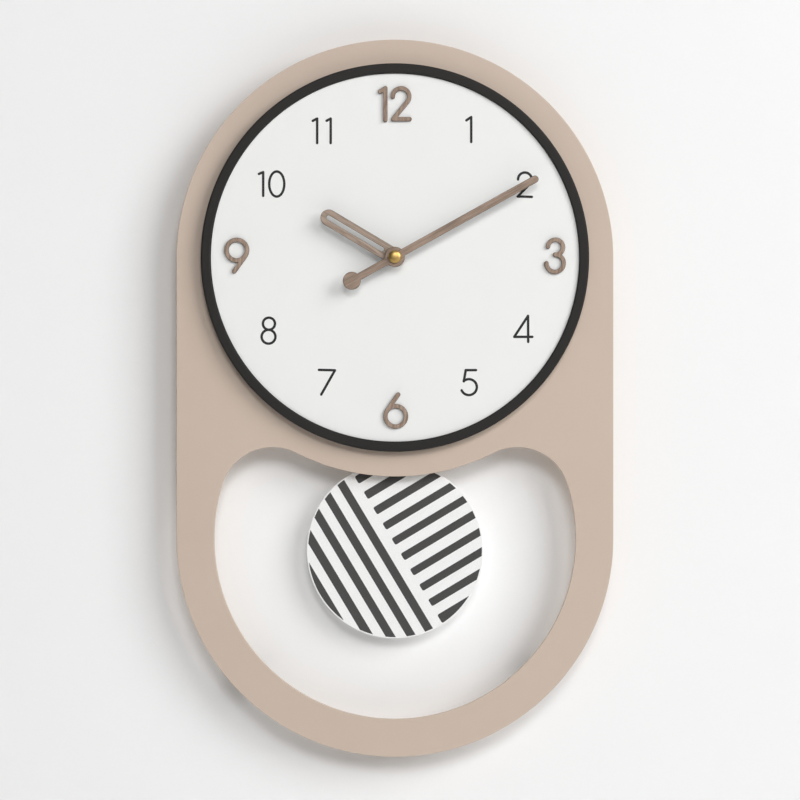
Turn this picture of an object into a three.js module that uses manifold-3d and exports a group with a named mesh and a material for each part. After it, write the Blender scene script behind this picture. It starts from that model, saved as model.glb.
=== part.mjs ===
// A pendulum wall clock: a stadium-shaped board with a bean-shaped window, a round dial in a black
// ring, a battery movement behind the board, and a striped bob that hangs in the window.
//
// Millimetres. The exported group has +Z up and +Y into the wall. Its origin is the point of the
// wall where the hook carries the hanger plate. Inside it, the "face" group is tipped up so that a
// piece is drawn as it looks from the room: x to the right, y up, z out of the wall, with the hand
// axis at x = y = 0 and the wall at z = 0.

import * as THREE from "three";
import { mergeVertices } from "three/addons/utils/BufferGeometryUtils.js";
import Module from "manifold-3d";

const wasm = await Module();
wasm.setup();

// ---- driving dimensions ----

const GAP = 0.1; // between faces that are glued or screwed together
const RUN = 0.1; // radial clearance of a shaft in its hole
const PAST = 1; // how far a cutting tool reaches beyond the face it opens

const BOARD_R = 160; // both round ends of the board
const BOARD_DROP = 205.4; // from the hand axis down to the centre of the lower end
const BOARD_T = 5;
const BOARD_BACK = 24; // the board's rear face, from the wall
const BOARD_FRONT = BOARD_BACK + BOARD_T;
const WINDOW_LOW_R = 132.4; // the window's lower arc, about the lower end's centre
const WINDOW_LOBE_R = 38.3; // its two upper corners

const RING_R = 141.8; // the black ring round the dial
const RING_IN_R = 134.7;
const RING_TOP = 39.1;
const DIAL_BACK = 34.3;
const DIAL_T = 2.3;
const DIAL_TOP = DIAL_BACK + DIAL_T;
const DIAL_R = RING_IN_R - 0.3;
const LEDGE_R = 129; // the dial's seat, from here out to the rim
const PILLAR_R = 18; // and its seat in the middle
const PAN_FLOOR = 2.2;
const RIM_ROUND = 0.8;

const NUMERAL_T = 2.2; // the raised numerals
const NUMERAL_STROKE = 3.2;

const BUSH_R = 4; // the movement's threaded neck
const BUSH_TOP = 42.4;
const NECK_ROOM = 1.2; // round the neck, in the board and the ring
const HOUR_TUBE_R = 2.55;
const MINUTE_SHAFT_R = 1.55;
const HOUR_HAND_Z = 45.2;
const MINUTE_HAND_Z = 48;
const HAND_T = 1.8;
const HOUR_HAND_TURN = 300.7; // clockwise from twelve, in degrees
const MINUTE_HAND_TURN = 61;

const CASE_W = 56; // the movement's case
const CASE_TOP = 28;
const CASE_BOTTOM = -72;
const CASE_WALL = 1.6;
const CASE_FRONT = BOARD_BACK - GAP;
const CASE_FLOOR = 22.1; // inside of its front wall
const CASE_REAR = 8.5; // where the cover closes it
const COVER_REAR = 6.6;
const CASE_ROUND = 3;
const RIB_T = 1.2; // the walls on both sides of the battery
const MOUTH_HALF = 13; // the opening the pendulum's arm swings in

const BATTERY_R = 7.1;
const BATTERY_Y = -22.3;
const BATTERY_Z = 14;
const BATTERY_ROOM = 0.4;

const SWING_Y = -36; // the pendulum's pivot, below the hand axis
const BOB_R = 65;
const BOB_Y = -214.6;
const BOB_T = 2.5;
const BOB_BACK = 14.5;
const ROD_Z = 9.9;
const ROD_R = 1.2;
const PIN_R = 1; // the pin the arm swings on

const HANG_Y = 125; // the wall hook, above the hand axis
const PLATE_T = 1.6; // the steel hanger plate

// Gear train: its arbors, and [centre x, centre y] of each axis.
const ARBOR_R = 0.6;
const POST_R = 0.7; // what the motion wheel turns on
const THIRD = [7.2, 12.47];
const SECONDS = [-4.52, 14.54];
const STEP = [-13.73, 12.92];
const ROTOR = [-16.6, 20.81];
const MOTION = [-8.457, -3.078];
const KNOB = [-17.457, -3.078];

// ---- materials ----

const finish = (color, roughness, metalness = 0) =>
  new THREE.MeshStandardMaterial({ color, roughness, metalness });
const TAUPE = finish(0xc6b3a4, 0.55);
const BLACK = finish(0x2b2927, 0.5);
const WHITE = finish(0xeeeeec, 0.7);
const WALNUT = finish(0x94765f, 0.6);
const BRASS = finish(0xd9b66c, 0.3, 1);
const STEEL = finish(0xb9bbbd, 0.35, 1);
const COPPER = finish(0xb87333, 0.4, 1);
const RUBBER = finish(0x222222, 0.9);
const CASE_PLASTIC = finish(0x1d1d1f, 0.6);
const GEAR_PLASTIC = finish(0xf2efe6, 0.5);
const BOARD_GREEN = finish(0x2d6b45, 0.5);
const MAGNET = finish(0x4a4a4e, 0.4, 1);
const RAW_BOARD = finish(0xb08d62, 0.8);
const CELL = finish(0x34495e, 0.4, 0.4);

// ---- joining and cutting ----

// A closed geometry as a solid that can be joined and cut.
function solid(geometry) {
  const bare = geometry.index ? geometry.toNonIndexed() : geometry.clone();
  bare.deleteAttribute("normal");
  bare.deleteAttribute("uv");
  const merged = mergeVertices(bare, 1e-4);
  return new wasm.Manifold(
    new wasm.Mesh({
      numProp: 3,
      vertProperties: merged.attributes.position.array,
      triVerts: new Uint32Array(merged.index.array),
    }),
  );
}

// A solid as a geometry again.
function geometryOf(made) {
  const mesh = made.getMesh();
  return new THREE.BufferGeometry()
    .setAttribute("position", new THREE.BufferAttribute(mesh.vertProperties, 3))
    .setIndex(new THREE.BufferAttribute(mesh.triVerts, 1))
    .toNonIndexed();
}

const join = (...geometries) =>
  geometryOf(geometries.map(solid).reduce((sum, next) => sum.add(next)));

const cut = (geometry, ...tools) =>
  geometryOf(tools.map(solid).reduce((sum, tool) => sum.subtract(tool), solid(geometry)));

// ---- basic shapes: z0 and z1 are the two faces, measured from the wall ----

// A flat outline, with its holes, between two depths.
function slab(shape, z0, z1, curveSegments = 12) {
  const geometry = new THREE.ExtrudeGeometry(shape, {
    depth: z1 - z0,
    bevelEnabled: false,
    curveSegments,
  });
  return geometry.translate(0, 0, z0);
}

const box = (x0, x1, y0, y1, z0, z1) =>
  new THREE.BoxGeometry(x1 - x0, y1 - y0, z1 - z0).translate(
    (x0 + x1) / 2,
    (y0 + y1) / 2,
    (z0 + z1) / 2,
  );

// A round bar along z, or a cone when the second radius differs.
const rod = (x, y, r0, z0, z1, sides = 24, r1 = r0) =>
  new THREE.CylinderGeometry(r1, r0, z1 - z0, sides)
    .rotateX(Math.PI / 2)
    .translate(x, y, (z0 + z1) / 2);

// A profile of [radius, z] points turned about the z axis.
const turned = (points, sides) =>
  new THREE.LatheGeometry(
    points.map(([r, z]) => new THREE.Vector2(r, z)),
    sides,
  ).rotateX(Math.PI / 2);

function discShape(r, hole) {
  const shape = new THREE.Shape().absarc(0, 0, r, 0, 2 * Math.PI);
  if (hole) shape.holes.push(new THREE.Path().absarc(0, 0, hole, 0, 2 * Math.PI));
  return shape;
}

function polygon(points) {
  return new THREE.Shape(points.map(([x, y]) => new THREE.Vector2(x, y)));
}

// A rectangle with round corners.
function roundedShape(x0, x1, y0, y1, r) {
  return new THREE.Shape()
    .moveTo(x1, y0 + r)
    .lineTo(x1, y1 - r)
    .absarc(x1 - r, y1 - r, r, 0, Math.PI / 2)
    .lineTo(x0 + r, y1)
    .absarc(x0 + r, y1 - r, r, Math.PI / 2, Math.PI)
    .lineTo(x0, y0 + r)
    .absarc(x0 + r, y0 + r, r, Math.PI, 1.5 * Math.PI)
    .lineTo(x1 - r, y0)
    .absarc(x1 - r, y0 + r, r, 1.5 * Math.PI, 2 * Math.PI);
}

// ---- naming and placing ----

const clock = new THREE.Group();
const face = new THREE.Group();
face.rotation.x = Math.PI / 2;
face.position.z = -HANG_Y;
clock.add(face);

function piece(name, geometry, material, parent = face) {
  const mesh = new THREE.Mesh(geometry, material);
  mesh.name = name;
  parent.add(mesh);
  return mesh;
}

// ---- the board ----

// The window is bounded by four arcs that run into each other: the middle one is concentric with
// the dial and bulges down, the lower one is concentric with the board's lower end, and a smaller
// lobe joins them at each side.
function windowPath() {
  const toMiddle = BOARD_R + WINDOW_LOBE_R;
  const toLow = WINDOW_LOW_R - WINDOW_LOBE_R;
  const drop = (toMiddle ** 2 - toLow ** 2 + BOARD_DROP ** 2) / (2 * BOARD_DROP);
  const side = Math.sqrt(toMiddle ** 2 - drop ** 2);
  const touchMiddle = Math.atan2(-drop, side); // angle of the touching point seen from the dial
  const touchLow = Math.atan2(BOARD_DROP - drop, side); // and seen from the lower end
  return new THREE.Path()
    .absarc(0, 0, BOARD_R, Math.PI - touchMiddle, touchMiddle, false)
    .absarc(side, -drop, WINDOW_LOBE_R, touchMiddle + Math.PI, touchLow, true)
    .absarc(0, -BOARD_DROP, WINDOW_LOW_R, touchLow, Math.PI - touchLow, true)
    .absarc(-side, -drop, WINDOW_LOBE_R, Math.PI - touchLow, -touchMiddle, true);
}

const RING_SCREW_R = 135.4;
const SCREW_HOLE_R = 1.8;
const SINK = 1.9; // depth of the countersinks in the board's back
const RING_SCREWS = [45, 135, 225, 315].map((turn) => {
  const angle = THREE.MathUtils.degToRad(turn);
  return [RING_SCREW_R * Math.cos(angle), RING_SCREW_R * Math.sin(angle)];
});

// Where the two lower spacers stand: on the middle of the rim, half way down the lower end.
const SPACER_REACH = ((WINDOW_LOW_R + BOARD_R) / 2) * Math.SQRT1_2;
const SPACER_Y = -BOARD_DROP - SPACER_REACH;
const SIDES = [["left", -SPACER_REACH], ["right", SPACER_REACH]];

function makeBoard() {
  const shape = new THREE.Shape()
    .absarc(0, 0, BOARD_R, 0, Math.PI)
    .absarc(0, -BOARD_DROP, BOARD_R, Math.PI, 2 * Math.PI);
  shape.holes.push(windowPath());
  const plate = slab(shape, BOARD_BACK, BOARD_FRONT, 30);
  const rear = BOARD_BACK - PAST;
  const neck = rod(0, 0, BUSH_R + NECK_ROOM, rear, BOARD_FRONT + PAST);
  const screwHoles = RING_SCREWS.flatMap(([x, y]) => [
    rod(x, y, SCREW_HOLE_R, rear, BOARD_FRONT + PAST, 12),
    rod(x, y, 3.7, BOARD_BACK - 0.2, BOARD_BACK + SINK, 12, 1.6),
  ]);
  const pilotDepth = 3.8;
  const spacerPilots = SIDES.map(([, x]) =>
    rod(x, SPACER_Y, 1.6, rear, BOARD_BACK + pilotDepth, 12),
  );
  piece("front_board", cut(plate, neck, ...screwHoles, ...spacerPilots), TAUPE);
}

// ---- the ring and the dial ----

// A moulded pan: a thick wall with a ledge for the dial, a thin back, and a pillar in the middle
// that holds the dial off the board where the nut pulls it down.
function makeRing() {
  const base = BOARD_FRONT + GAP;
  const ledge = DIAL_BACK - GAP;
  const pan = turned(
    [
      [BUSH_R + NECK_ROOM, base],
      [RING_R, base],
      [RING_R, RING_TOP - RIM_ROUND],
      [RING_R - RIM_ROUND, RING_TOP],
      [RING_IN_R + 0.6, RING_TOP],
      [RING_IN_R, RING_TOP - 0.6],
      [RING_IN_R, ledge],
      [LEDGE_R, ledge],
      [LEDGE_R - 2, base + PAN_FLOOR],
      [PILLAR_R, base + PAN_FLOOR],
      [PILLAR_R, ledge],
      [BUSH_R + NECK_ROOM, ledge],
      [BUSH_R + NECK_ROOM, base],
    ],
    64,
  );
  const bite = 4.2; // how deep the screws go into the pan
  const thread = 1.4;
  const pilots = RING_SCREWS.map(([x, y]) =>
    rod(x, y, thread + 0.15, base - PAST, base + bite + 0.3, 12),
  );
  piece("ring_case", cut(pan, ...pilots), BLACK);
  piece("dial", slab(discShape(DIAL_R, BUSH_R + 0.3), DIAL_BACK, DIAL_TOP, 32), WHITE);
  const head = [
    [0, BOARD_BACK + GAP],
    [3.2, BOARD_BACK + GAP],
    [thread, BOARD_BACK + SINK],
    [thread, base + bite - 0.8],
    [0, base + bite],
  ];
  RING_SCREWS.forEach(([x, y], i) => {
    piece("ring_screw_" + (i + 1), turned(head, 12), STEEL).position.set(x, y, 0);
  });
}

// ---- the raised numerals ----

// A smooth centre line as a list of points: straight runs and arcs, angles in degrees.
const line = (...points) => points.map(([x, y]) => new THREE.Vector2(x, y));

function arc(x, y, r, from, until, steps = 12) {
  return Array.from({ length: steps + 1 }, (_, i) => {
    const angle = THREE.MathUtils.degToRad(from + ((until - from) * i) / steps);
    return new THREE.Vector2(x + r * Math.cos(angle), y + r * Math.sin(angle));
  });
}

// The angle, seen from a circle's centre, at which a line from a point outside touches it.
function touchAngle([x, y], r, [px, py], side) {
  const away = Math.atan2(py - y, px - x);
  const spread = Math.acos(r / Math.hypot(px - x, py - y));
  return THREE.MathUtils.radToDeg(away + side * spread);
}

// A stroke of constant width along a centre line, with round ends.
function strokeSlab(points, width, z0, z1) {
  const last = points.length - 1;
  const along = (i) =>
    points[Math.min(i + 1, last)].clone().sub(points[Math.max(i - 1, 0)]).normalize();
  const beside = (i, side) => {
    const way = along(i);
    return new THREE.Vector2(-way.y, way.x).multiplyScalar((side * width) / 2).add(points[i]);
  };
  const cap = (i, turn) => {
    const start = THREE.MathUtils.radToDeg(along(i).angle()) + turn;
    return arc(points[i].x, points[i].y, width / 2, start, start + 180, 8).slice(1, -1);
  };
  const outline = [
    ...points.map((_, i) => beside(i, -1)),
    ...cap(last, -90),
    ...points.map((_, i) => beside(last - i, 1)),
    ...cap(0, 90),
  ];
  return slab(new THREE.Shape(outline), z0, z1);
}

// A numeral of several strokes, standing on the dial.
function numeral(name, ...strokes) {
  const z0 = DIAL_TOP + GAP;
  const parts = strokes.map((points) => strokeSlab(points, NUMERAL_STROKE, z0, z0 + NUMERAL_T));
  piece(name, parts.length > 1 ? join(...parts) : parts[0], WALNUT);
}

// A ring with a straight stem that touches it: a six, or a nine when its stem hangs down.
function ringNumeral(name, centre, stemEnd) {
  const r = 7.5;
  const z0 = DIAL_TOP + GAP;
  const ring = discShape(r + NUMERAL_STROKE / 2, r - NUMERAL_STROKE / 2);
  const turn = THREE.MathUtils.degToRad(touchAngle(centre, r, stemEnd, 1));
  const foot = [centre[0] + r * Math.cos(turn), centre[1] + r * Math.sin(turn)];
  const stem = strokeSlab(line(foot, stemEnd), NUMERAL_STROKE, z0, z0 + NUMERAL_T);
  const band = slab(ring, z0, z0 + NUMERAL_T, 16).translate(centre[0], centre[1], 0);
  piece(name, join(band, stem), WALNUT);
}

function makeNumerals() {
  numeral("numeral_12_one", line([-10.8, 121.1], [-7, 123.5]), line([-7, 123.5], [-7, 100.4]));
  const bowl = [4.5, 117.5];
  const foot = [-1.2, 101];
  const leave = touchAngle(bowl, 6, foot, 1);
  numeral(
    "numeral_12_two",
    [...arc(...bowl, 6, 182, leave, 16), ...line(foot)],
    line(foot, [10.7, 101]),
  );
  numeral(
    "numeral_3",
    arc(117.2, 7.5, 5.5, 176, -90),
    arc(116.9, -4.2, 6.3, 90, -180),
  );
  ringNumeral("numeral_6", [0.6, -115.9], [2.4, -100]);
  ringNumeral("numeral_9", [-115.4, 5.4], [-117.2, -10]);
}

// ---- the hands ----

const BOSS_R = 7.3;

// A stadium along +y, from y0 to y1 between the centres of its round ends.
function bar(halfWidth, y0, y1) {
  return new THREE.Shape()
    .absarc(0, y1, halfWidth, 0, Math.PI)
    .absarc(0, y0, halfWidth, Math.PI, 2 * Math.PI);
}

function makeHourHand() {
  const half = 5.95;
  const slot = 1.6;
  const slotFrom = 11;
  const reach = 62;
  const z1 = HOUR_HAND_Z + HAND_T;
  const loop = slab(bar(half, 0, reach - half), HOUR_HAND_Z, z1, 10);
  const boss = rod(0, 0, BOSS_R, HOUR_HAND_Z, z1, 32);
  const opening = slab(bar(slot, slotFrom, reach - half), HOUR_HAND_Z - PAST, z1 + PAST, 8);
  const hole = rod(0, 0, HOUR_TUBE_R + RUN, HOUR_HAND_Z - PAST, z1 + PAST);
  const hand = piece("hour_hand", cut(join(loop, boss), opening, hole), WALNUT);
  hand.rotation.z = -THREE.MathUtils.degToRad(HOUR_HAND_TURN);
}

function makeMinuteHand() {
  const half = 2.65;
  const reach = 119;
  const tail = 35.8;
  const tailR = 6.5;
  const z1 = MINUTE_HAND_Z + HAND_T;
  const blade = slab(bar(half, -tail, reach - half), MINUTE_HAND_Z, z1, 10);
  const boss = rod(0, 0, BOSS_R, MINUTE_HAND_Z, z1, 32);
  const weight = rod(0, -tail, tailR, MINUTE_HAND_Z, z1, 32);
  const hole = rod(0, 0, MINUTE_SHAFT_R + RUN, MINUTE_HAND_Z - PAST, z1 + PAST);
  const hand = piece("minute_hand", cut(join(blade, boss, weight), hole), WALNUT);
  hand.rotation.z = -THREE.MathUtils.degToRad(MINUTE_HAND_TURN);
}

const SHAFT_TOP = MINUTE_HAND_Z + HAND_T + 2.4;

function makeCapNut() {
  const base = MINUTE_HAND_Z + HAND_T + GAP;
  const bore = MINUTE_SHAFT_R + RUN;
  const r = 4.65;
  const profile = [
    [bore, base],
    [r, base],
    [r, base + 2.2],
    [4.2, base + 2.9],
    [2.6, base + 3.5],
    [0, base + 3.7],
    [0, SHAFT_TOP + 0.3],
    [bore, SHAFT_TOP + 0.3],
    [bore, base],
  ];
  piece("cap_nut", turned(profile, 20), BRASS);
}

// ---- the movement's case, neck and nut ----

const caseOutline = () =>
  roundedShape(-CASE_W / 2, CASE_W / 2, CASE_BOTTOM, CASE_TOP, CASE_ROUND);

// The battery's bay, between two ribs, from the lower one to the upper one.
const BAY = [BATTERY_Y - BATTERY_R - BATTERY_ROOM, BATTERY_Y + BATTERY_R + BATTERY_ROOM];

// What the pendulum's arm comes down through.
const mouth = (z0, z1) =>
  box(-MOUTH_HALF, MOUTH_HALF, CASE_BOTTOM - PAST, CASE_BOTTOM + 2 * CASE_WALL, z0, z1);

function makeCase() {
  const outer = slab(caseOutline(), CASE_REAR, CASE_FRONT, 4);
  const inner = CASE_W / 2 - CASE_WALL;
  const rear = CASE_REAR - PAST;
  const room = (y0, y1) => box(-inner, inner, y0, y1, rear, CASE_FLOOR);
  const train = room(BAY[1] + RIB_T, CASE_TOP - CASE_WALL);
  const swing = room(CASE_BOTTOM + CASE_WALL, BAY[0] - RIB_T);
  const shell = cut(outer, train, room(...BAY), swing, mouth(rear, 15));
  const neck = rod(0, 0, BUSH_R, CASE_FLOOR + 0.5, BUSH_TOP, 28);
  const post = rod(...MOTION, POST_R, 17.4, CASE_FLOOR + 0.5, 12);
  const bore = rod(0, 0, HOUR_TUBE_R + 0.3, CASE_FLOOR - PAST, BUSH_TOP + PAST);
  const through = (x, y, r, sides) => rod(x, y, r, CASE_FLOOR - PAST, CASE_FLOOR + PAST, sides);
  const pivots = [THIRD, SECONDS, STEP, ROTOR].map(([x, y]) => through(x, y, ARBOR_R + RUN, 10));
  const pinHole = through(0, SWING_Y, PIN_R + RUN, 12);
  piece("movement_case", cut(join(shell, neck, post), bore, pinHole, ...pivots), CASE_PLASTIC);
}

function makeCover() {
  const lid = slab(caseOutline(), COVER_REAR, CASE_REAR - GAP, 4);
  const reach = CASE_W / 2 - CASE_WALL;
  const rear = COVER_REAR - PAST;
  const bay = box(-reach, reach, ...BAY, rear, CASE_REAR);
  const knobHole = rod(...KNOB, 2, rear, CASE_REAR, 16);
  piece("movement_cover", cut(lid, bay, knobHole, mouth(rear, CASE_REAR)), CASE_PLASTIC);
}

function makeNeckNut() {
  const z0 = DIAL_TOP + GAP;
  const bore = BUSH_R + RUN;
  piece("neck_washer", slab(discShape(6.8, bore), z0, z0 + 0.5, 14), RUBBER);
  const hexagon = new THREE.Shape(arc(0, 0, 6.4, 0, 300, 5));
  hexagon.holes.push(new THREE.Path().absarc(0, 0, bore, 0, 2 * Math.PI));
  piece("neck_nut", slab(hexagon, z0 + 0.6, z0 + 2.8, 14), BRASS);
}

// ---- the gear train ----

const TEETH = { pinion: 6, centre: 48, third: 45, seconds: 30, step: 36 };
const MOTION_TEETH = { cannon: 8, wheel: 24, pinion: 6, hour: 24, knob: 8 };

// A pair's module is set by how far apart its axes are.
const pairModule = (a, b, teethA, teethB) =>
  (2 * Math.hypot(a[0] - b[0], a[1] - b[1])) / (teethA + teethB);

const CENTRE = [0, 0];
const MINUTE_MODULE = pairModule(CENTRE, THIRD, TEETH.centre, TEETH.pinion);
const THIRD_MODULE = pairModule(THIRD, SECONDS, TEETH.third, TEETH.pinion);
const STEP_MODULE = pairModule(STEP, ROTOR, TEETH.step, TEETH.pinion);
const MOTION_MODULE = pairModule(CENTRE, MOTION, MOTION_TEETH.cannon, MOTION_TEETH.wheel);
const HOUR_MODULE = pairModule(CENTRE, MOTION, MOTION_TEETH.hour, MOTION_TEETH.pinion);
const TRAIN_PLATE = [9.4, 10.6];

// A spur wheel: straight-sided teeth, one of them centred on the phase angle.
function gear(teeth, size, phase, z0, z1, hole = 0) {
  const pitch = (teeth * size) / 2;
  const root = pitch - 1.1 * size;
  const tip = pitch + 0.8 * size;
  const step = (2 * Math.PI) / teeth;
  const corners = [[root, -0.3], [tip, -0.13], [tip, 0.13], [root, 0.3]];
  const points = Array.from({ length: teeth }, (_, i) =>
    corners.map(([r, share]) => {
      const angle = phase + (i + share) * step;
      return new THREE.Vector2(r * Math.cos(angle), r * Math.sin(angle));
    }),
  ).flat();
  const shape = new THREE.Shape(points);
  if (hole) shape.holes.push(new THREE.Path().absarc(0, 0, hole, 0, 2 * Math.PI));
  return slab(shape, z0, z1, 5);
}

// The phase that puts a wheel's gap on its driver's tooth along the line between their axes.
function inMesh(driverTeeth, driverPhase, driver, teeth, axis) {
  const way = Math.atan2(axis[1] - driver[1], axis[0] - driver[0]);
  return way + Math.PI - (Math.PI + (driverPhase - way) * driverTeeth) / teeth;
}

function placed(name, geometry, [x, y], material = GEAR_PLASTIC) {
  piece(name, geometry, material).position.set(x, y, 0);
}

// An arbor, with one wheel and one pinion on it.
const compound = (wheel, pinion, z0 = TRAIN_PLATE[0] + 0.2, z1 = CASE_FLOOR + 0.8) =>
  join(rod(0, 0, ARBOR_R, z0, z1, 10), wheel, pinion);

function makeTrain() {
  const { pinion, centre, third, seconds, step } = TEETH;
  const { cannon, wheel, pinion: motionPinion, hour, knob } = MOTION_TEETH;

  const minuteShaft = join(
    rod(0, 0, ARBOR_R, TRAIN_PLATE[0] + 0.2, 15, 10),
    rod(0, 0, MINUTE_SHAFT_R, 14.5, SHAFT_TOP, 20),
    gear(centre, MINUTE_MODULE, 0, 15.6, 16.6),
    gear(cannon, MOTION_MODULE, 0, 16.5, 20.3),
  );
  placed("centre_wheel", minuteShaft, CENTRE, STEEL);

  const thirdPhase = inMesh(centre, 0, CENTRE, pinion, THIRD);
  const thirdPinion = gear(pinion, MINUTE_MODULE, thirdPhase, 14.3, 17);
  placed("third_wheel", compound(gear(third, THIRD_MODULE, 0, 13.4, 14.4), thirdPinion), THIRD);

  const secondsPhase = inMesh(third, 0, THIRD, pinion, SECONDS);
  const secondsPinion = gear(pinion, THIRD_MODULE, secondsPhase, 12.1, 14.8);
  const secondsWheel = gear(seconds, THIRD_MODULE, 0, 11.2, 12.2);
  placed("seconds_wheel", compound(secondsWheel, secondsPinion), SECONDS);

  const stepWheel = gear(step, STEP_MODULE, 0, 17.8, 18.6);
  placed("step_wheel", compound(stepWheel, gear(pinion, THIRD_MODULE, 0, 11, 12.4)), STEP);

  const rotorPhase = inMesh(step, 0, STEP, pinion, ROTOR);
  const rotorPinion = gear(pinion, STEP_MODULE, rotorPhase, 17.2, 19.2);
  placed("rotor", compound(rod(0, 0, 2.6, 11.4, 14.4, 20), rotorPinion), ROTOR, MAGNET);

  const motionPhase = inMesh(cannon, 0, CENTRE, wheel, MOTION);
  const sleeve = POST_R + RUN;
  const motionWheel = join(
    gear(wheel, MOTION_MODULE, motionPhase, 18.7, 19.9, sleeve),
    gear(motionPinion, HOUR_MODULE, 0, 19.8, 21.8, sleeve),
  );
  placed("motion_wheel", motionWheel, MOTION);

  const hourPhase = inMesh(motionPinion, 0, MOTION, hour, CENTRE);
  const bore = MINUTE_SHAFT_R + RUN;
  const tube = slab(discShape(HOUR_TUBE_R, bore), 21.5, HOUR_HAND_Z + HAND_T + 0.6, 12);
  placed("hour_wheel", join(gear(hour, HOUR_MODULE, hourPhase, 20.6, 21.8, bore), tube), CENTRE);

  const knobPhase = inMesh(wheel, motionPhase, MOTION, knob, KNOB);
  const grip = new THREE.Shape(
    Array.from({ length: 48 }, (_, i) => {
      const r = i % 4 < 2 ? 6 : 5.4;
      const angle = (i * Math.PI) / 24;
      return new THREE.Vector2(r * Math.cos(angle), r * Math.sin(angle));
    }),
  );
  const setKnob = join(
    slab(grip, 3.6, 6.2),
    rod(0, 0, 1.6, 6.1, 18.8, 14),
    gear(knob, MOTION_MODULE, knobPhase, 18.7, 19.9),
  );
  placed("set_knob", setKnob, KNOB, CASE_PLASTIC);
}

// The rear bearing plate, with a hole for each arbor.
function makeTrainPlate() {
  const outline = polygon([
    [-20, 25.5],
    [24, 25.5],
    [24, -4.5],
    [-6, -4.5],
    [-10, 8],
    [-20, 8],
  ]);
  const holes = [CENTRE, THIRD, SECONDS, STEP, ROTOR].map(([x, y]) =>
    rod(x, y, ARBOR_R + RUN, TRAIN_PLATE[0] - 1, TRAIN_PLATE[1] + 1, 10),
  );
  piece("train_plate", cut(slab(outline, ...TRAIN_PLATE), ...holes), GEAR_PLASTIC);
}

// ---- the step motor and its circuit ----

function makeMotor() {
  const stator = polygon([
    [-25.2, 25.2],
    [-12.2, 25.2],
    [-12.2, 16.8],
    [-17.2, 16.8],
    [-17.2, 1.2],
    [-25.2, 1.2],
    [-25.2, 4],
    [-19.7, 4],
    [-19.7, 16.8],
    [-25.2, 16.8],
  ]);
  const hole = rod(...ROTOR, 3, 12, 14, 20);
  piece("stator", cut(slab(stator, 12.4, 13.2), hole), STEEL);
  const coilX = -22.8;
  const winding = new THREE.CylinderGeometry(2.7, 2.7, 12, 20).translate(coilX, 10.4, 0);
  winding.translate(0, 0, 12.8);
  const core = box(coilX - 1.3, coilX + 1.3, 1.6, 19.2, 13.3, 14.1);
  piece("motor_coil", join(winding, core), COPPER);
  piece("circuit_board", box(-10, 25, -12.2, -5.4, 10.4, 11.4), BOARD_GREEN);
  const can = new THREE.CylinderGeometry(1, 1, 6, 14).rotateZ(Math.PI / 2);
  piece("quartz_crystal", can.translate(18, -9, 12.5), STEEL);
}

// ---- the battery and its contacts ----

const NUB_R = 2.7;

function makeBattery() {
  const profile = [
    [0, -24.6],
    [BATTERY_R - 0.4, -24.6],
    [BATTERY_R, -24.2],
    [BATTERY_R, 23.9],
    [BATTERY_R - 0.5, 24.4],
    [NUB_R, 24.4],
    [NUB_R, 25.5],
    [0, 25.5],
  ];
  const cell = turned(profile, 18).rotateY(Math.PI / 2);
  piece("battery", cell.translate(0, BATTERY_Y, BATTERY_Z), CELL);
  const y0 = BATTERY_Y - 5;
  const y1 = BATTERY_Y + 5;
  piece("contact_plus", box(25.8, 26.2, y0, y1, 9.5, 20.5), STEEL);
  const spring = new THREE.CylinderGeometry(3.5, 2, 1, 16).rotateZ(Math.PI / 2);
  const leaf = box(-26.2, -25.8, y0, y1, 9.5, 20.5);
  piece("contact_minus", join(leaf, spring.translate(-25.3, BATTERY_Y, BATTERY_Z)), STEEL);
}

// ---- the pendulum ----

const COIL_Y = -60;
const ARM_Z = [11.4, 13.4];
const STUD_Y = -79; // where the rod's eye hooks on
const STUD_R = 1.2;

function makePendulumDrive() {
  const coil = slab(discShape(7, 1.6), 17.6, CASE_FLOOR - GAP, 14).translate(0, COIL_Y, 0);
  piece("pendulum_coil", coil, COPPER);
  piece("pendulum_pin", rod(0, SWING_Y, PIN_R, CASE_REAR + 0.3, CASE_FLOOR + 0.9, 14), STEEL);
  const blade = slab(
    polygon([
      [4.5, SWING_Y],
      [4, COIL_Y],
      [2.6, STUD_Y - 2.6],
      [-2.6, STUD_Y - 2.6],
      [-4, COIL_Y],
      [-4.5, SWING_Y],
    ]),
    ...ARM_Z,
  );
  const hub = rod(0, SWING_Y, 4.5, 10, 16.4, 24);
  const seat = rod(0, COIL_Y, 5, ARM_Z[0], ARM_Z[1], 24);
  const stud = rod(0, STUD_Y, STUD_R, 7.4, ARM_Z[0] + 0.5, 14);
  const bore = rod(0, SWING_Y, PIN_R + RUN, 9, 18, 14);
  piece("pendulum_arm", cut(join(blade, hub, seat, stud), bore), GEAR_PLASTIC);
  piece("pendulum_magnet", rod(0, COIL_Y, 4, ARM_Z[1] + GAP, 16.7, 24), MAGNET);
}

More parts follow.
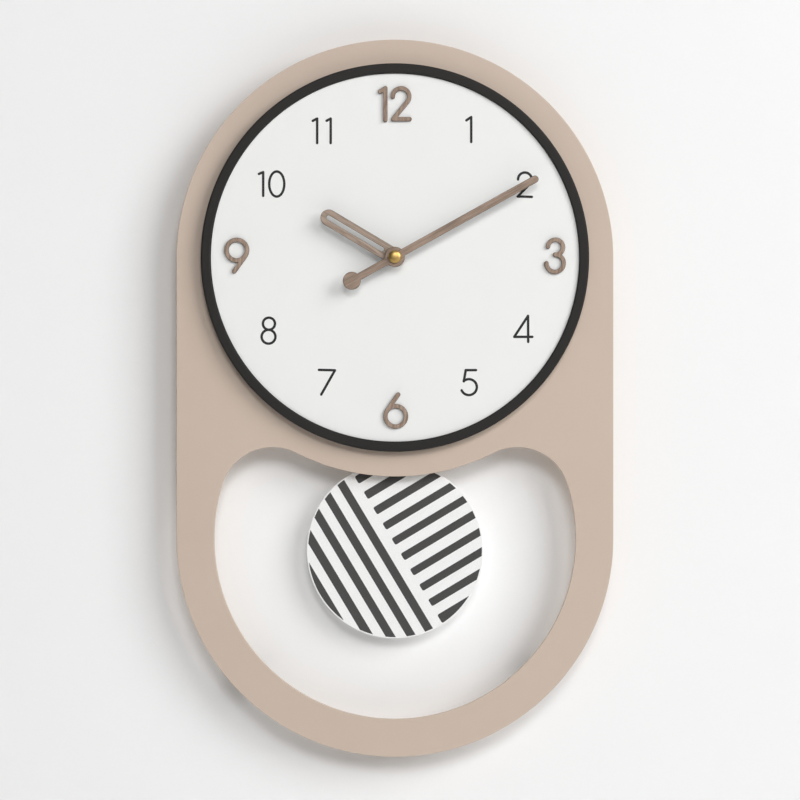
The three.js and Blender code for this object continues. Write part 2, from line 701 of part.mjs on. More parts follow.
function makePendulum() {
  const rodLow = BOB_Y + 12;
  const rodHigh = STUD_Y - 2.4;
  const wire = new THREE.CylinderGeometry(ROD_R, ROD_R, rodHigh - rodLow, 14);
  wire.translate(0, (rodHigh + rodLow) / 2, ROD_Z);
  const eye = slab(discShape(3.4, STUD_R + RUN), ROD_Z - 0.9, ROD_Z + 0.9, 10).translate(0, STUD_Y, 0);
  piece("pendulum_rod", join(wire, eye), BRASS);
  const clip = slab(roundedShape(-6, 6, rodLow - 3, rodLow + 27, 3), ROD_Z - 2.4, BOB_BACK - GAP, 5);
  const bore = new THREE.CylinderGeometry(ROD_R + RUN, ROD_R + RUN, 40, 14);
  const groove = bore.translate(0, rodLow - GAP + 20, ROD_Z);
  piece("bob_clip", cut(clip, groove), CASE_PLASTIC);
  const bob = slab(discShape(BOB_R), BOB_BACK, BOB_BACK + BOB_T, 28).translate(0, BOB_Y, 0);
  piece("pendulum_bob", bob, WHITE);
}

// ---- what holds the clock to the wall ----

const SLOT_R = 2.5; // the narrow part of the keyhole
const ENTRY_R = 4.8; // where the hook's head goes in
const ENTRY_Y = HANG_Y - 11;
const HANGER_SCREWS = [-16, 16];

function makeHanger() {
  const low = HANG_Y - 20;
  const high = HANG_Y + 10;
  const outline = roundedShape(-22, 22, low, high, 6);
  const keyhole = new THREE.Path().absarc(0, HANG_Y, SLOT_R, 0, Math.PI);
  const half = Math.asin(SLOT_R / ENTRY_R);
  keyhole.absarc(0, ENTRY_Y, ENTRY_R, Math.PI / 2 + half, 2.5 * Math.PI - half);
  outline.holes.push(keyhole);
  const sinks = HANGER_SCREWS.map((x) => rod(x, HANG_Y - 5, 3.4, -0.2, PLATE_T + 0.1, 12, 1.7));
  piece("hanger_plate", cut(slab(outline, 0, PLATE_T, 4), ...sinks), STEEL);
  const block = box(-26, 26, low - 3, high + 3, PLATE_T + GAP, BOARD_BACK - GAP);
  const pocket = box(-7.5, 7.5, ENTRY_Y - 6.5, HANG_Y + 6, 0, 12);
  const pilots = HANGER_SCREWS.map((x) => rod(x, HANG_Y - 5, 1.3, 0, 14, 10));
  piece("hanger_block", cut(block, pocket, ...pilots), RAW_BOARD);
  const screw = [
    [0, 0.2],
    [2.8, 0.2],
    [1.15, PLATE_T],
    [1.15, 11.6],
    [0, 12.6],
  ];
  HANGER_SCREWS.forEach((x, i) => {
    piece("hanger_screw_" + (i + 1), turned(screw, 12), STEEL).position.set(x, HANG_Y - 5, 0);
  });
}

// Two round spacers hold the lower end off the wall, each with a rubber bumper over its screw.
function makeSpacers() {
  const bumperT = 2;
  const z0 = bumperT + GAP;
  const well = z0 + 12;
  const spacer = turned(
    [
      [4, z0],
      [8.4, z0],
      [9, z0 + 0.6],
      [9, BOARD_BACK - GAP],
      [1.7, BOARD_BACK - GAP],
      [1.7, well],
      [4, well],
      [4, z0],
    ],
    16,
  );
  const screw = turned(
    [
      [0, well - 2.2],
      [3.4, well - 2.2],
      [3.4, well - GAP],
      [1.5, well - GAP],
      [1.5, BOARD_BACK + 2.6],
      [0, BOARD_BACK + 3.4],
    ],
    12,
  );
  for (const [side, x] of SIDES) {
    piece("spacer_" + side, spacer, CASE_PLASTIC).position.set(x, SPACER_Y, 0);
    piece("spacer_screw_" + side, screw, STEEL).position.set(x, SPACER_Y, 0);
    piece("bumper_" + side, rod(0, 0, 8, 0, bumperT), RUBBER).position.set(x, SPACER_Y, 0);
  }
}

makeBoard();
makeRing();
makeNumerals();
makeHourHand();
makeMinuteHand();
makeCapNut();
makeCase();
makeCover();
makeNeckNut();
makeTrain();
makeTrainPlate();
makeMotor();
makeBattery();
makePendulumDrive();
makePendulum();
makeHanger();
makeSpacers();

export default clock;
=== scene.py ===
"""The looks of a pendulum wall clock, in the order in which the clock is put together.

Sizes are in millimetres as the face is drawn: x to the right and y up from the hand axis, and z out
of the wall. make_piece() carries them into the frame, where up is +Z and the wall is behind +Y.
"""

import math

import bmesh
import bpy
import numpy as np
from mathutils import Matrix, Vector
from mathutils.geometry import tessellate_polygon


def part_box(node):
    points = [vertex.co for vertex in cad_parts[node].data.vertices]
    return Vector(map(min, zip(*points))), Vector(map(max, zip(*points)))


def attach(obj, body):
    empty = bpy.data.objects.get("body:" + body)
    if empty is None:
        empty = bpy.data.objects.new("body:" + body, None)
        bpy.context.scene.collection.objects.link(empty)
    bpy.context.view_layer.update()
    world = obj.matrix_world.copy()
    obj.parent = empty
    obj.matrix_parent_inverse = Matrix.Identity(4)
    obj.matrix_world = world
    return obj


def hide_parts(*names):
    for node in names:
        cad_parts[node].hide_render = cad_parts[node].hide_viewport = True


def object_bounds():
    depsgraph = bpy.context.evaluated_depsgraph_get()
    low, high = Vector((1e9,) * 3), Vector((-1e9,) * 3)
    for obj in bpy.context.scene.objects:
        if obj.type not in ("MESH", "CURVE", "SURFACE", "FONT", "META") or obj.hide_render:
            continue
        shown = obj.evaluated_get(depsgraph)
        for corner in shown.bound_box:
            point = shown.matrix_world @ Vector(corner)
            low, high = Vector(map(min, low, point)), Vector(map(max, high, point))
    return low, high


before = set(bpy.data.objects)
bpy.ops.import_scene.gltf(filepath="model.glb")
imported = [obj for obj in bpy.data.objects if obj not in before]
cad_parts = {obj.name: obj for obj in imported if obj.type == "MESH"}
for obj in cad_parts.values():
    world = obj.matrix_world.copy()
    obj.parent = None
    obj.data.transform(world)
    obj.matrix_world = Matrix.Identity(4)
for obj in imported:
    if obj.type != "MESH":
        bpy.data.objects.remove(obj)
cad_low, cad_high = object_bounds()

# ---- The camera ----
# It stands across the room and looks straight at the wall, with a long lens. The clock hangs a
# touch left of the middle of its view.

MM = 0.001
EYE_DISTANCE = 2.4  # metres in front of the board
VIEW_WIDTH = 0.586  # metres of the board's plane that fill the view
EYE_RIGHT = 3.7  # of the middle of the clock
EYE_BELOW = 1.3

camera = bpy.data.objects.new("camera", bpy.data.cameras.new("camera"))
bpy.context.collection.objects.link(camera)
bpy.context.scene.camera = camera
camera.data.sensor_width = 36
camera.data.lens = camera.data.sensor_width * EYE_DISTANCE / VIEW_WIDTH
camera.location = (
    EYE_RIGHT * MM,
    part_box("front_board")[0].y - EYE_DISTANCE,
    (cad_low.z + cad_high.z) / 2 - EYE_BELOW * MM,
)
camera.rotation_euler = (math.pi / 2, 0, 0)

# ---- The board ----
# A 5 mm fibreboard with two round ends, cut out with a bean-shaped window below the dial. The front
# and the edges are sprayed in satin taupe, and the back is bare. Everything else hangs on it.

BOARD_EDGE = 0.45
WINDOW_LOW_R = 132.4  # the window's lower arc
WINDOW_LOBE_R = 38.3  # and its two upper corners
NECK_HOLE_R = 5.2
RING_SCREW_R = 135.4  # how far out the ring's four screws stand
RING_SCREW_TURNS = (45, 135, 225, 315)
SCREW_HOLE_R = 1.8
SCREW_SINK = 1.9
BEND_STEPS = 6  # points round a softened corner
GUARD = 0.15  # how far beyond it the flats are pinned, as a share of its radius
SEAM = 2e-7  # metres within which doubled points merge
SHARP = 40  # degrees from which an edge is drawn sharp

axis_low, axis_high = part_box("dial")
AXIS_UP = (axis_low.z + axis_high.z) / 2


def node_box(node):
    """A CAD node's lowest and highest corner, in the face's millimetres."""
    low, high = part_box(node)
    return (
        np.array([low.x, low.z - AXIS_UP, -high.y]) / MM,
        np.array([high.x, high.z - AXIS_UP, -low.y]) / MM,
    )


class Shade:
    """One socket of a material. A sum on it adds Math nodes, and add() adds a node of any kind."""

    def __init__(self, tree, socket=None):
        self.tree = tree
        self.socket = socket

    def add(self, kind, settings=None, inputs=None, output=0):
        """Adds a node: its settings first, then the value or link of each socket, and gives one output."""
        node = self.tree.nodes.new("ShaderNode" + kind)
        for key, value in (settings or {}).items():
            setattr(node, key, value)
        for key, value in (inputs or {}).items():
            if isinstance(value, Shade):
                self.tree.links.new(value.socket, node.inputs[key])
            else:
                node.inputs[key].default_value = value
        return Shade(self.tree, node.outputs[output] if node.outputs else None)

    def math(self, operation, *values):
        """A Math node that takes these values in turn."""
        return self.add("Math", {"operation": operation}, dict(enumerate(values)))

    def __add__(self, other):
        return self.math("ADD", self, other)

    def __radd__(self, other):
        return self.math("ADD", other, self)

    def __sub__(self, other):
        return self.math("SUBTRACT", self, other)

    def __rsub__(self, other):
        return self.math("SUBTRACT", other, self)

    def __mul__(self, other):
        return self.math("MULTIPLY", self, other)

    def __rmul__(self, other):
        return self.math("MULTIPLY", other, self)

    def step(self, low, high):
        """0 below low and 1 above high, with a smooth rise between them."""
        settings = {"interpolation_type": "SMOOTHSTEP"}
        return self.add("MapRange", settings, {"Value": self, "From Min": low, "From Max": high})

    def part(self, letter):
        """The X, Y or Z of a vector."""
        return self.add("SeparateXYZ", inputs={"Vector": self}, output=letter)

    def grain(self, size, detail=2.0, roughness=0.5):
        """Cloudy noise, 0 to 1, with spots about this many millimetres across."""
        inputs = {"Vector": self, "Scale": 1 / (size * MM), "Detail": detail, "Roughness": roughness}
        return self.add("TexNoise", inputs=inputs)

    def drawn(self, turn, length):
        """Coordinates turned by so many degrees clockwise and stretched so many times along +Z."""
        inputs = {"Vector": self, "Rotation": (0, math.radians(turn), 0), "Scale": (1, 1, length)}
        return self.add("Mapping", {"vector_type": "TEXTURE"}, inputs)

    def between(self, first, second):
        """The first colour at 0, the second at 1."""
        inputs = {0: self, 6: first, 7: second}
        return self.add("Mix", {"data_type": "RGBA"}, inputs, output=2)

    def bump(self, depth, strength=1.0):
        """A surface normal from this height, where 1 stands so many millimetres proud."""
        inputs = {"Height": self, "Distance": depth * MM, "Strength": strength}
        return self.add("Bump", inputs=inputs)

    def facing_out(self):
        """1 on faces that look out of the wall, -1 on those that look into it."""
        normal = self.add("TexCoord", output="Normal")
        return normal.part("Y") * -1


def colour(red, green, blue):
    """A screen colour, 0 to 255, as light: each share to the power 2.4 above its straight foot."""
    share = np.array([red, green, blue]) / 255
    light = np.where(share > 0.04045, ((share + 0.055) / 1.055) ** 2.4, share / 12.92)
    return (*light, 1)


def finish(name, sockets):
    """A material. sockets is a function of Object coordinates that gives the surface's sockets."""
    made = bpy.data.materials.new(name)
    made.use_nodes = True
    made.node_tree.nodes.clear()
    here = Shade(made.node_tree).add("TexCoord", output="Object")
    surface = here.add("BsdfPrincipled", inputs=sockets(here))
    here.add("OutputMaterial", inputs={"Surface": surface})
    return made


def arc(x, y, r, start, end, step=2.5):
    """Points on a circle about (x, y), from one angle to another in degrees."""
    turn = np.radians(np.linspace(start, end, max(2, int(abs(end - start) / step) + 1)))
    return np.stack([x + r * np.cos(turn), y + r * np.sin(turn)], 1)


def outline(*runs):
    """Runs of points joined into one closed outline, without a point that repeats the one before."""
    points = np.concatenate(runs)
    return points[np.linalg.norm(points - np.roll(points, 1, 0), axis=1) > 1e-5]


def circle(x, y, r, step=4):
    """The outline of a circle, with a point every so many degrees."""
    return outline(arc(x, y, r, 0, 360, step))


def softened(corners, radii):
    """A profile with round corners: each is a parabola that touches its two sides a radius away.

    A point just before and just after it keeps the flats beside it flat.
    """
    corners, radii = np.array(corners, float), np.array(radii, float)[:, None]
    to_last, to_next = (np.roll(corners, shift, 0) - corners for shift in (1, -1))
    to_last /= np.linalg.norm(to_last, axis=1, keepdims=True)
    to_next /= np.linalg.norm(to_next, axis=1, keepdims=True)
    start, end = corners + radii * to_last, corners + radii * to_next
    share = np.linspace(0, 1, BEND_STEPS)[:, None, None]
    bend = (1 - share) ** 2 * start + 2 * share * (1 - share) * corners + share**2 * end
    guard = GUARD * radii
    rows = np.concatenate([[start + guard * to_last], bend, [end + guard * to_next]])
    return rows.transpose(1, 0, 2).reshape(-1, 2)


def grid_faces(rows, columns, closed):
    """The four-cornered faces of a grid whose rows run round, and whose columns may close too."""
    row, column = np.meshgrid(np.arange(rows), np.arange(columns - (not closed)), indexing="ij")
    next_row, next_column = (row + 1) % rows, (column + 1) % columns
    corners = [(row, column), (row, next_column), (next_row, next_column), (next_row, column)]
    return np.stack([r * columns + c for r, c in corners], -1).reshape(-1, 4)


def make_piece(name, points, faces, material):
    """A mesh object from the face's millimetres. Doubled points merge, which closes seams and poles."""
    x, y, z = np.array(points).T
    placed = np.stack([x * MM, -z * MM, y * MM + AXIS_UP], 1)
    mesh = bpy.data.meshes.new(name)
    mesh.from_pydata(placed.tolist(), [], faces)
    form = bmesh.new()
    form.from_mesh(mesh)
    bmesh.ops.remove_doubles(form, verts=form.verts, dist=SEAM)
    form.to_mesh(mesh)
    form.free()
    mesh.shade_smooth()
    mesh.set_sharp_from_angle(angle=math.radians(SHARP))
    mesh.materials.append(material)
    piece = bpy.data.objects.new(name, mesh)
    bpy.context.collection.objects.link(piece)
    return piece


def carried(name, outlines, profiles, material):
    """A closed solid: each profile of (inset, z) points is carried round its outline.

    The first outline is the outer one and the rest are holes. The inset runs square to the outline,
    into the material, and triangles fill the front and the back between the profiles' ends. Each end
    has its own triangles, because a countersunk hole is wider at the back.
    """
    points, faces, fronts, backs, start = [], [], [], [], 0
    for hole, (line, profile) in enumerate(zip(outlines, profiles)):
        after = np.roll(line, -1, 0)
        left_turning = (line[:, 0] * after[:, 1] - line[:, 1] * after[:, 0]).sum() > 0
        line = line if left_turning != bool(hole) else line[::-1]
        way = np.roll(line, -1, 0) - line
        way /= np.linalg.norm(way, axis=1, keepdims=True)
        side = np.stack([way[:, 1], -way[:, 0]], 1)
        last = np.roll(side, 1, 0)
        outward = (side + last) / (1 + (side * last).sum(1, keepdims=True))
        flat = line[:, None] - profile[None, :, :1] * outward[:, None]
        depth = np.broadcast_to(profile[None, :, 1:], (*flat.shape[:2], 1))
        points.append(np.concatenate([flat, depth], 2).reshape(-1, 3))
        faces += (grid_faces(len(line), len(profile), False) + start).tolist()
        fronts.append(start + np.arange(len(line)) * len(profile))
        backs.append(fronts[-1] + len(profile) - 1)
        start += flat.shape[0] * flat.shape[1]
    points = np.concatenate(points)
    for ends, facing in ((fronts, 1), (backs, -1)):
        loops = [[Vector(points[i]) for i in end] for end in ends]
        fill = np.concatenate(ends)[np.array(tessellate_polygon(loops))]
        a, b, c = (points[fill[:, i], :2] for i in range(3))
        turned_over = facing * np.cross(b - a, c - a) < 0
        fill[turned_over] = fill[turned_over][:, ::-1]
        faces += fill.tolist()
    return make_piece(name, points, faces, material)


def plate(name, outlines, back, front, edge, material, sinks=()):
    """A flat plate with rounded edges. sinks gives how deep each outline is countersunk at the back."""
    profiles = []
    for i in range(len(outlines)):
        sink = sinks[i] if sinks else 0
        corners = [(2 * edge, front), (0, front), (0, back + sink)]
        corners += [(sink, back)] if sink else []
        corners += [(sink + 2 * edge, back)]
        radii = [0, *[edge] * (len(corners) - 2), 0]
        profiles.append(softened(corners, radii))
    return carried(name, outlines, profiles, material)


def fit(piece, body, slot, *nodes):
    """The piece rides on a body and stands for these CAD nodes, which are hidden. The slot is not used."""
    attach(piece, body)
    if nodes:
        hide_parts(*nodes)
    return piece


def window_outline(board_r, drop_to_low):
    """The window: an arc round the dial, a lobe at each side, and an arc round the lower end.

    Each lobe touches both arcs, so its centre is the point at board_r + lobe from the dial's centre
    and at low - lobe from the lower end's centre.
    """
    to_middle, to_low = board_r + WINDOW_LOBE_R, WINDOW_LOW_R - WINDOW_LOBE_R
    drop = (to_middle**2 - to_low**2 + drop_to_low**2) / (2 * drop_to_low)
    side = math.sqrt(to_middle**2 - drop**2)
    touch_middle = math.degrees(math.atan2(-drop, side))
    touch_low = math.degrees(math.atan2(drop_to_low - drop, side))
    return outline(
        arc(0, 0, board_r, 180 - touch_middle, 360 + touch_middle, 1.5),
        arc(side, -drop, WINDOW_LOBE_R, touch_middle + 180, touch_low),
        arc(0, -drop_to_low, WINDOW_LOW_R, touch_low, -180 - touch_low, 1.5),
        arc(-side, -drop, WINDOW_LOBE_R, 180 - touch_low, -touch_middle),
    )


def board_paint(here):
    """Satin spray over fibreboard: faint clouds, a fine orange peel, and bare brown fibre behind."""
    peel = here.grain(0.9, 3)
    fibre = here.grain(1.6, 6, 0.7)
    painted = (0.6 * here.grain(70) + 0.4 * peel).between(colour(193, 174, 159), colour(200, 183, 167))
    bare = fibre.between(colour(148, 118, 86), colour(186, 156, 120))
    behind = (here.facing_out() * -1).step(0.6, 0.9)
    return {
        "Base Color": behind.between(painted, bare),
        "Roughness": 0.46 + 0.1 * peel + 0.3 * behind,
        "Normal": (peel + behind * fibre).bump(0.03, 0.35),
    }


(_, board_low, board_back), (board_right, _, board_front) = node_box("front_board")
low_end = board_low + board_right  # the centre of the lower round end
ring_screws = [arc(0, 0, RING_SCREW_R, turn, turn)[0] for turn in RING_SCREW_TURNS]
board = plate(
    "painted_board",
    [
        outline(arc(0, 0, board_right, 0, 180, 1.5), arc(0, low_end, board_right, 180, 360, 1.5)),
        window_outline(board_right, -low_end),
        circle(0, 0, NECK_HOLE_R),
        *[circle(x, y, SCREW_HOLE_R, 15) for x, y in ring_screws],
    ],
    board_back,
    board_front,
    BOARD_EDGE,
    finish("board_paint", board_paint),
    sinks=[0, 0, 0] + [SCREW_SINK] * len(ring_screws),
)
fit(board, "clock_body", "board_paint", "front_board")

# ---- The ring and its screws ----
# A moulded black pan with a rim round the dial and a pillar in the middle. Four countersunk steel
# screws come through the board from behind and pull it down.

RING_IN_R = 134.7
RING_ROUND = 1.5  # the rim's outer edge
LEDGE_R = 129
LEDGE_SLOPE = 2
LEDGE_GAP = 0.1  # between the ledge and the dial
PILLAR_R = 18
PAN_FLOOR = 2.2
SCREW_HEAD_R = 3.2
SCREW_R = 1.4
SCREW_POINT = 0.8
CROSS_WIDTH = 0.9
CROSS_DEPTH = 1.1
CROSS_REACH = 0.62  # as a share of the head's radius


def turned(name, profile, material, centre=(0, 0, 0), along="z", closed=False, sides=64):
    """A profile of (radius, depth) points carried round an axis, front first where it lies along z."""
    turn = np.linspace(0, 2 * np.pi, sides, endpoint=False)[:, None]
    r, depth = np.array(profile).T
    points = np.stack([r * np.cos(turn), r * np.sin(turn), depth + 0 * turn], -1).reshape(-1, 3)
    points = np.roll(points, {"z": 0, "x": 1, "y": 2}[along], 1) + centre
    faces = grid_faces(sides, len(r), closed).tolist()
    return make_piece(name, points, faces, material)


def combined(name, operation, first, *others):
    """One solid from several: joined, or with the later ones cut out of the first."""
    for other in others:
        step = first.modifiers.new("combine", "BOOLEAN")
        step.operation = operation
        step.solver = "EXACT"
        step.object = other
    seen = first.evaluated_get(bpy.context.evaluated_depsgraph_get())
    first.data = bpy.data.meshes.new_from_object(seen)
    first.data.name = first.name = name
    first.modifiers.clear()
    for other in others:
        bpy.data.objects.remove(other)
    return first


def moulded_black(here):
    """Black moulding with the fine spark-eroded grain of its tool, a little uneven in its gloss."""
    spark = here.grain(0.35, 2)
    cloud = here.grain(25)
    return {
        "Base Color": (0.5 * spark + 0.5 * cloud).between(colour(26, 25, 24), colour(40, 38, 36)),
        "Roughness": 0.5 + 0.1 * cloud + 0.1 * spark,
        "Specular IOR Level": 0.25,
        "Normal": spark.bump(0.02, 0.5),
    }


def bright_steel(here):
    """Zinc-plated steel: pale spangles, fine rolling lines and a little dulling."""
    lines = here.drawn(90, 30).grain(0.25, 3)
    spangle = here.grain(2.2, 1)
    return {
        "Base Color": (0.5 * lines + 0.5 * spangle).between(colour(168, 171, 175), colour(214, 216, 218)),
        "Metallic": 1.0,
        "Roughness": 0.28 + 0.16 * spangle + 0.08 * lines,
        "Normal": lines.bump(0.01, 0.4),
    }


def cross_screw(name, node, x, y, shaft_r, head_r, point):
    """A countersunk steel screw for a CAD node, with a cross in its head, which looks into the wall."""
    (_, _, head_back), (_, _, tip) = node_box(node)
    shape = [
        (0, tip),
        (shaft_r, tip - point),
        (shaft_r, head_back + head_r - shaft_r),
        (head_r, head_back),
        (0, head_back),
    ]
    screw = turned(name, softened(shape, [0, 0.1, 0.3, 0.1, 0]), steel, (x, y, 0), sides=40)
    arm, half = CROSS_REACH * head_r, CROSS_WIDTH / 2
    square = np.array([(-1, -1), (1, -1), (1, 1), (-1, 1)])
    sunk = np.array([(0, head_back + CROSS_DEPTH), (0, head_back - 1)])
    bars = [
        carried("bar", [square * size + (x, y)], [sunk], steel) for size in ((arm, half), (half, arm))
    ]
    fit(combined(name, "DIFFERENCE", screw, *bars), "clock_body", "steel", node)


(_, _, ring_back), (ring_r, _, ring_front) = node_box("ring_case")
(_, _, dial_back), (dial_r, _, dial_front) = node_box("dial")
ledge = dial_back - LEDGE_GAP
ring_finish = finish("moulded_black", moulded_black)
pan = softened(
    [
        (RING_IN_R, ring_front),
        (ring_r, ring_front),
        (ring_r, ring_back),
        (NECK_HOLE_R, ring_back),
        (NECK_HOLE_R, ledge),
        (PILLAR_R, ledge),
        (PILLAR_R, ring_back + PAN_FLOOR),
        (LEDGE_R - LEDGE_SLOPE, ring_back + PAN_FLOOR),
        (LEDGE_R, ledge),
        (RING_IN_R, ledge),
    ],
    [0.8, RING_ROUND, 0.5, 0.3, 0.3, 0.5, 0.5, 0.5, 0.3, 0.3],
)
ring = turned("black_ring", pan, ring_finish, closed=True, sides=256)
fit(ring, "clock_body", "ring_black", "ring_case")

steel = finish("bright_steel", bright_steel)
for i, (x, y) in enumerate(ring_screws, 1):
    cross_screw(f"ring_screw_steel_{i}", f"ring_screw_{i}", x, y, SCREW_R, SCREW_HEAD_R, SCREW_POINT)

# ---- The dial and its printed figures ----
# A white hardboard disc that drops into the ring. Eight thin figures are screen-printed on it in
# black, and leave the places of twelve, three, six and nine free.

DIAL_EDGE = 0.25
DIAL_HOLE_R = 4.3
INK_T = 0.05
INK_STROKE = 1.85
ONES = [  # x, top, foot, and where the flag starts
    (55.7, 102.6, 84.4, (52.2, 100.2)),
    (-96.2, 62.4, 45.1, (-99.3, 61.1)),
    (-56.8, 101.5, 83.6, (-60.0, 99.8)),
    (-46.9, 101.5, 83.6, (-49.9, 99.9)),
]
EIGHT = [(-92.0, -48.3, 4.4), (-92.3, -57.8, 5.04)]
ZERO = (-86.3, 53.7, 5.5, 9.15)


def dial_white(here):
    """White-painted hardboard: an even off-white with a faint tooth."""
    tooth = here.grain(0.6, 4, 0.6)
    return {
        "Base Color": (0.5 * here.grain(45) + 0.5 * tooth).between(
            colour(231, 231, 229), colour(236, 236, 234)
        ),
        "Roughness": 0.55 + 0.12 * tooth,
        "Normal": tooth.bump(0.02, 0.3),
    }


def printing_ink(here):
    """Black screen ink: nearly matt, with the pinholes of the mesh in its gloss."""
    pinhole = here.grain(0.3, 2)
    return {
        "Base Color": pinhole.between(colour(5, 5, 5), colour(14, 14, 13)),
        "Roughness": 0.5 + 0.2 * pinhole,
        "Normal": pinhole.bump(0.01, 0.3),
    }


def stroke(points, width):
    """A pen stroke: the centre line moved half the width to each side, with a half circle at each end."""
    points = np.array(points, float)
    way = np.gradient(points, axis=0)
    heading = np.degrees(np.arctan2(way[:, 1], way[:, 0]))
    side = width / 2 * np.stack([way[:, 1], -way[:, 0]], 1) / np.linalg.norm(way, axis=1, keepdims=True)
    end, start = points[-1], points[0]
    return [
        outline(
            points + side,
            arc(*end, width / 2, heading[-1] - 90, heading[-1] + 90, 10),
            (points - side)[::-1],
            arc(*start, width / 2, heading[0] + 90, heading[0] + 270, 10),
        )
    ]


def loop(x, y, wide, high, width):
    """A closed oval stroke, as its outer and its inner outline."""
    unit = circle(0, 0, 1)
    return [unit * (wide + half, high + half) + (x, y) for half in (width / 2, -width / 2)]


def touching(centre, r, point, side):
    """The angle in degrees, seen from a circle's centre, at which a line from the point touches it."""
    across, up = point[0] - centre[0], point[1] - centre[1]
    spread = math.degrees(math.acos(r / math.hypot(across, up)))
    return math.degrees(math.atan2(up, across)) + side * spread


def one(x, top, foot, flag, width):
    """A one: a short flag that rises to the top of an upright."""
    return [stroke([flag, (x, top)], width), stroke([(x, top), (x, foot)], width)]


def two(bowl, r, foot, end, width):
    """A two: an arc over the bowl, a straight run that leaves it without a corner, and a base."""
    leave = touching(bowl, r, foot, 1)
    curve = np.concatenate([arc(*bowl, r, 181, leave, 6), [foot]])
    return [stroke(curve, width), stroke([foot, end], width)]


def standing(name, strokes, profile, material):
    """Strokes given as outlines, each stood up with the same profile, and joined into one solid."""
    solids = [carried("stroke", outlines, [profile] * len(outlines), material) for outlines in strokes]
    return combined(name, "UNION", *solids)


dial_finish = finish("dial_white", dial_white)
dial_outlines = [circle(0, 0, dial_r, 1.5), circle(0, 0, DIAL_HOLE_R, 10)]
dial = plate("white_dial", dial_outlines, dial_back, dial_front, DIAL_EDGE, dial_finish)
fit(dial, "clock_body", "dial_white", "dial")

ink = finish("printing_ink", printing_ink)
figures = {
    "1": one(*ONES[0], INK_STROKE),
    "2": two((94.9, 57.1), 5.0, (89.6, 44.6), (100.0, 44.3), INK_STROKE),
    "4": [
        stroke([(97.2, -42.6), (87.1, -57.9)], INK_STROKE),
        stroke([(87.1, -57.9), (100.3, -57.9)], INK_STROKE),
        stroke([(97.2, -42.6), (97.3, -61.6)], INK_STROKE),
    ],
    "5": [
        stroke([(59.2, -82.2), (51.7, -82.2)], INK_STROKE),
        stroke([(51.7, -82.2), (50.3, -90.4)], INK_STROKE),
        stroke(arc(54.0, -94.6, 5.8, 131, -156, 6), INK_STROKE),
    ],
    "7": [
        stroke([(-55.5, -82.0), (-43.8, -82.3)], INK_STROKE),
        stroke([(-43.8, -82.3), (-53.8, -100.0)], INK_STROKE),
    ],
    "8": [loop(x, y, r, r, INK_STROKE) for x, y, r in EIGHT],
    "10": [*one(*ONES[1], INK_STROKE), loop(*ZERO, INK_STROKE)],
    "11": [*one(*ONES[2], INK_STROKE), *one(*ONES[3], INK_STROKE)],
}
ink_wall = np.array([(0, dial_front + INK_T), (0, dial_front - INK_T)])
for figure, strokes in figures.items():
    fit(standing(f"printed_{figure}", strokes, ink_wall, ink), "clock_body", "ring_black")

# ---- The raised numerals ----
# Twelve, three, six and nine are cut from 2.2 mm walnut ply by laser, which browns their edges,
# and are glued on the dial.

NUMERAL_STROKE = 3.2
NUMERAL_EDGE = 0.5
NUMERAL_RING = 7.5
NUMERAL_GRAIN = 8  # degrees
NUMERAL_WOOD = ((168, 147, 130), (118, 96, 80))  # its light and its dark


def walnut(turn, light, dark):
    """Walnut with its grain at so many degrees clockwise, and edges scorched dark by the laser."""

    def sockets(here):
        along = here.drawn(turn, 14)
        figure = along.grain(1.3, 4, 0.65)
        pores = along.grain(0.35, 2).step(0.6, 0.75)
        scorched = 1 - here.facing_out().step(0.72, 0.97)
        wood = figure.step(0.3, 0.7).between(colour(*light), colour(*dark))
        wood = (0.35 * pores).between(wood, colour(84, 62, 48))
        return {
            "Base Color": scorched.between(wood, colour(62, 44, 32)),
            "Roughness": 0.5 + 0.15 * figure,
            "Normal": (figure - 0.6 * pores).bump(0.04, 0.5),
        }

    return sockets


def ring_and_stem(centre, stem):
    """A six, or a nine when its stem hangs down: the stem touches the ring's side."""
    turn = touching(centre, NUMERAL_RING, stem, 1)
    foot = arc(*centre, NUMERAL_RING, turn, turn)[0]
    band = loop(*centre, NUMERAL_RING, NUMERAL_RING, NUMERAL_STROKE)
    return [band, stroke([foot, stem], NUMERAL_STROKE)]


numeral_finish = finish("walnut_numerals", walnut(NUMERAL_GRAIN, *NUMERAL_WOOD))
numerals = {
    "12_one": one(-7, 123.5, 100.4, (-10.8, 121.1), NUMERAL_STROKE),
    "12_two": two((4.5, 117.5), 6, (-1.2, 101), (10.7, 101), NUMERAL_STROKE),
    "3": [
        stroke(arc(117.2, 7.5, 5.5, 176, -90, 6), NUMERAL_STROKE),
        stroke(arc(116.9, -4.2, 6.3, 90, -180, 6), NUMERAL_STROKE),
    ],
    "6": ring_and_stem((0.6, -115.9), (2.4, -100)),
    "9": ring_and_stem((-115.4, 5.4), (-117.2, -10)),
}
for figure, strokes in numerals.items():
    node = f"numeral_{figure}"
    (_, _, back), (_, _, front) = node_box(node)
    rim = softened([(1, front), (0, front), (0, back), (1, back)], [0, NUMERAL_EDGE, 0.1, 0])
    fit(standing(f"walnut_{figure}", strokes, rim, numeral_finish), "clock_body", "walnut", node)

# ---- The movement's case, its cover and its neck ----
# A black moulded box behind the board holds the works. Its threaded neck comes through the board,
# the ring and the dial, where a rubber washer and a hexagonal brass nut hold it.

CAD_SEAM = 2e-6  # metres
CAD_FLAT = 1  # degrees between two triangles of one flat


def rounded(piece, width, segments=3):
    """Rounds a solid's sharp edges with a bevel that leaves its flats flat."""
    piece.data.shade_smooth()
    bevel = piece.modifiers.new("edges", "BEVEL")
    bevel.width = width * MM
    bevel.segments = segments
    bevel.limit_method = "ANGLE"
    bevel.angle_limit = math.radians(35)
    bevel.harden_normals = True
    return piece


